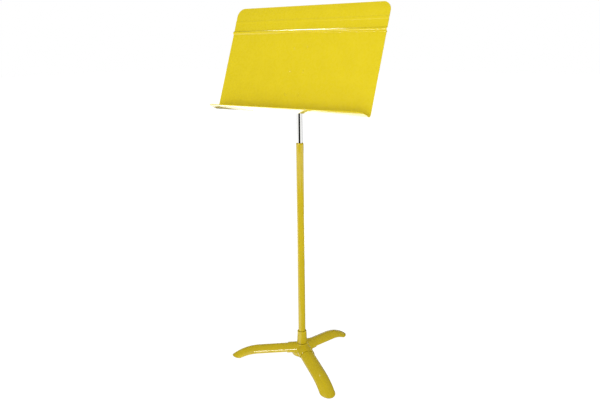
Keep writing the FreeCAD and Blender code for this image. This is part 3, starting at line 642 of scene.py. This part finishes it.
def make_pivot_nut():
    """The lock nut on the bolt's threaded end: a hexagon and the crown that holds its nylon."""
    bore = BOLT_RADIUS + FITTING_GAP
    nut = hexagon("pivot_lock_nut", NUT_FLATS, bore)
    neck = HEXAGON_WIDTH / 2 - CROWN_INSET
    profile = [
        (bore, CROWN_FOOT),
        (neck, CROWN_FOOT),
        (neck, NUT_HEIGHT - CROWN_ROUND),
        (neck - CROWN_ROUND_MIDDLE, NUT_HEIGHT - CROWN_ROUND_MIDDLE),
        (neck - CROWN_ROUND, NUT_HEIGHT),
        (bore + 2 * CROWN_LIP, NUT_HEIGHT),
        (bore + CROWN_LIP, NUT_HEIGHT - 2 * CROWN_LIP),
        (bore, NUT_HEIGHT - 3 * CROWN_LIP),
        (bore, CROWN_FOOT),
    ]
    crown = turned("pivot_lock_nut_crown", profile, segments=48)
    place = Matrix.Translation(PIVOT + Vector((CLAMP_SEAT, 0, 0)))
    place = place @ Matrix.Rotation(math.pi / 2, 4, "Y")
    for piece in (nut, crown):
        settle(piece, place)
        smooth(piece)
        fit(piece, FINISHES["zinc"], "desk", "zinc", "pivot_nut")


# -------------------------------------------------------------------------------------------------
# Studio
# -------------------------------------------------------------------------------------------------

CAMERA_PLACE = (0.9059, -1.4115, 0.9776)
CAMERA_AZIMUTH = math.radians(32.737)
CAMERA_PITCH = math.radians(14.8)
CAMERA_ROLL = math.radians(-0.675)
CAMERA_LENS_MM = 34.667
CAMERA_SENSOR_MM = 36
# The turn from the front of the stand to the camera's side.
CAMERA_SIDE = Matrix.Rotation(CAMERA_AZIMUTH, 4, "Z")

# How bright the room is to look at, as fill light, and in reflections.
ROOM_SEEN = 1.0
ROOM_FILL = 0.82
ROOM_REFLECTED = 0.04

# Each card round the rod: its angle from the camera's side, its foot and its width.
ROD_CARDS = ((-12, 0.59, 0.75), (140, 0.59, 0.35), (200, 0.66, 0.35))
ROD_CARD_TOP = 1.1
ROD_CARD_DISTANCE = 0.5
# How far a card that lies on the floor is clear of it.
FLOOR_CARD_LIFT = 0.0005


def studio_matt(name, tone, glow=0.0):
    """A dead matt material for the studio, which may glow white."""
    material = bpy.data.materials.new(name)
    material.use_nodes = True
    surface = material.node_tree.nodes["Principled BSDF"]
    surface.inputs["Base Color"].default_value = colour(tone)
    surface.inputs["Roughness"].default_value = 1.0
    surface.inputs["Specular IOR Level"].default_value = 0.0
    surface.inputs["Emission Color"].default_value = grey(1)
    surface.inputs["Emission Strength"].default_value = glow
    return material


def make_floor():
    """A plain pale floor: matt acrylic that glows white all over, so that shadows stay faint."""
    bpy.ops.object.select_all(action="DESELECT")
    bpy.ops.mesh.primitive_plane_add(size=40, location=(0, 0, 0))
    floor = bpy.context.object
    floor.name = "studio_floor"
    floor.data.materials.append(studio_matt("lit_white_acrylic", "5E5E5C", glow=1.0))


def add_softbox(name, place, target, width, height, power, fills=False, grid=180):
    """A soft rectangular light that faces its target: it makes a highlight, or fills the shade.

    A honeycomb grid keeps its light within so many degrees.
    """
    light = bpy.data.lights.new(name, "AREA")
    light.shape = "RECTANGLE"
    light.size = width
    light.size_y = height
    light.energy = power
    light.spread = math.radians(grid)
    lamp = bpy.data.objects.new(name, light)
    lamp.location = place
    lamp.visible_camera = False
    lamp.visible_diffuse = fills
    lamp.visible_glossy = not fills
    facing = Vector(target) - Vector(place)
    lamp.rotation_euler = facing.to_track_quat("-Z", "Y").to_euler()
    bpy.context.scene.collection.objects.link(lamp)


def add_flag(name, place, width, length):
    """A dark card that only reflections show, so that gloss and chrome have it to mirror."""
    bpy.ops.object.select_all(action="DESELECT")
    bpy.ops.mesh.primitive_plane_add(size=1)
    flag = bpy.context.object
    flag.name = name
    flag.matrix_world = place @ Matrix.Diagonal((width, length, 1, 1))
    flag.data.materials.append(studio_matt("black_studio_card", "050502"))
    flag.visible_camera = False
    flag.visible_diffuse = False
    flag.visible_shadow = False


def light_room():
    """A room that is white to look at and as fill light, and nearly dark in reflections."""
    world = bpy.data.worlds.new("studio")
    world.use_nodes = True
    tree = world.node_tree
    tree.nodes.clear()
    seen, fill, reflected = (
        add(tree, "ShaderNodeBackground", None, {"Color": grey(1), "Strength": power}).outputs[0]
        for power in (ROOM_SEEN, ROOM_FILL, ROOM_REFLECTED)
    )
    ray = add(tree, "ShaderNodeLightPath").outputs
    lit = add(tree, "ShaderNodeMixShader", None, {0: ray["Is Glossy Ray"], 1: fill, 2: reflected})
    room = {0: ray["Is Camera Ray"], 1: lit.outputs["Shader"], 2: seen}
    view = add(tree, "ShaderNodeMixShader", None, room)
    add(tree, "ShaderNodeOutputWorld", None, {"Surface": view.outputs["Shader"]})
    bpy.context.scene.world = world


def light_studio():
    """One fill light, three softboxes for highlights, and dark cards round the rod and below."""
    add_softbox("fill_softbox", (0.5, -1.8, 0.8), (0, 0, 0.5), 1.2, 0.8, 8, fills=True)
    # The front one draws the line along the near side of a leg, and the top one that on the rib.
    add_softbox("front_softbox", (-0.15, -2.2, 1.2), (0, 0, 0.05), 1.3, 0.6, 42)
    add_softbox("top_softbox", (-0.43, 0.18, 1.72), (0, 0.03, 1.02), 0.28, 0.45, 0.14, grid=20)
    # This one lies on the floor behind the stand, faces up and brightens the shelf's underside.
    add_softbox("floor_softbox", (-0.73, 1.14, 0.01), (-0.73, 1.1401, 1), 1.3, 1.1, 8)
    upright = Matrix.Rotation(math.pi / 2, 4, "X")
    for number, (angle, foot, width) in enumerate(ROD_CARDS, start=1):
        turn = Matrix.Rotation(CAMERA_AZIMUTH + math.radians(angle), 4, "Z")
        middle = Matrix.Translation((0, -ROD_CARD_DISTANCE, (foot + ROD_CARD_TOP) / 2))
        add_flag(f"rod_flag_{number}", turn @ middle @ upright, width, ROD_CARD_TOP - foot)
    near_card = CAMERA_SIDE @ Matrix.Translation((1.07, 0.25, FLOOR_CARD_LIFT))
    add_flag("near_floor_flag", near_card, 2.26, 1.3)
    far_card = CAMERA_SIDE @ Matrix.Translation((0, -1.3, FLOOR_CARD_LIFT))
    add_flag("far_floor_flag", far_card, 4.4, 1.9)
    bpy.context.scene.view_settings.view_transform = "Standard"


def make_camera():
    """The camera: to the right of the desk's front, a little below its top edge, looking down."""
    camera = bpy.data.cameras.new("camera")
    camera.lens = CAMERA_LENS_MM
    camera.sensor_width = CAMERA_SENSOR_MM
    holder = bpy.data.objects.new("camera", camera)
    pitch = Matrix.Rotation(math.pi / 2 - CAMERA_PITCH, 4, "X")
    roll = Matrix.Rotation(CAMERA_ROLL, 4, "Z")
    holder.matrix_world = Matrix.Translation(CAMERA_PLACE) @ CAMERA_SIDE @ pitch @ roll
    bpy.context.scene.collection.objects.link(holder)
    bpy.context.scene.camera = holder


finish_cad_nodes()
make_desk_sheet()
make_rivets()
make_hub_casting()
make_collar()
make_clutch_cap()
make_pivot_bolt()
make_pivot_nut()
make_floor()
make_camera()
light_room()
light_studio()
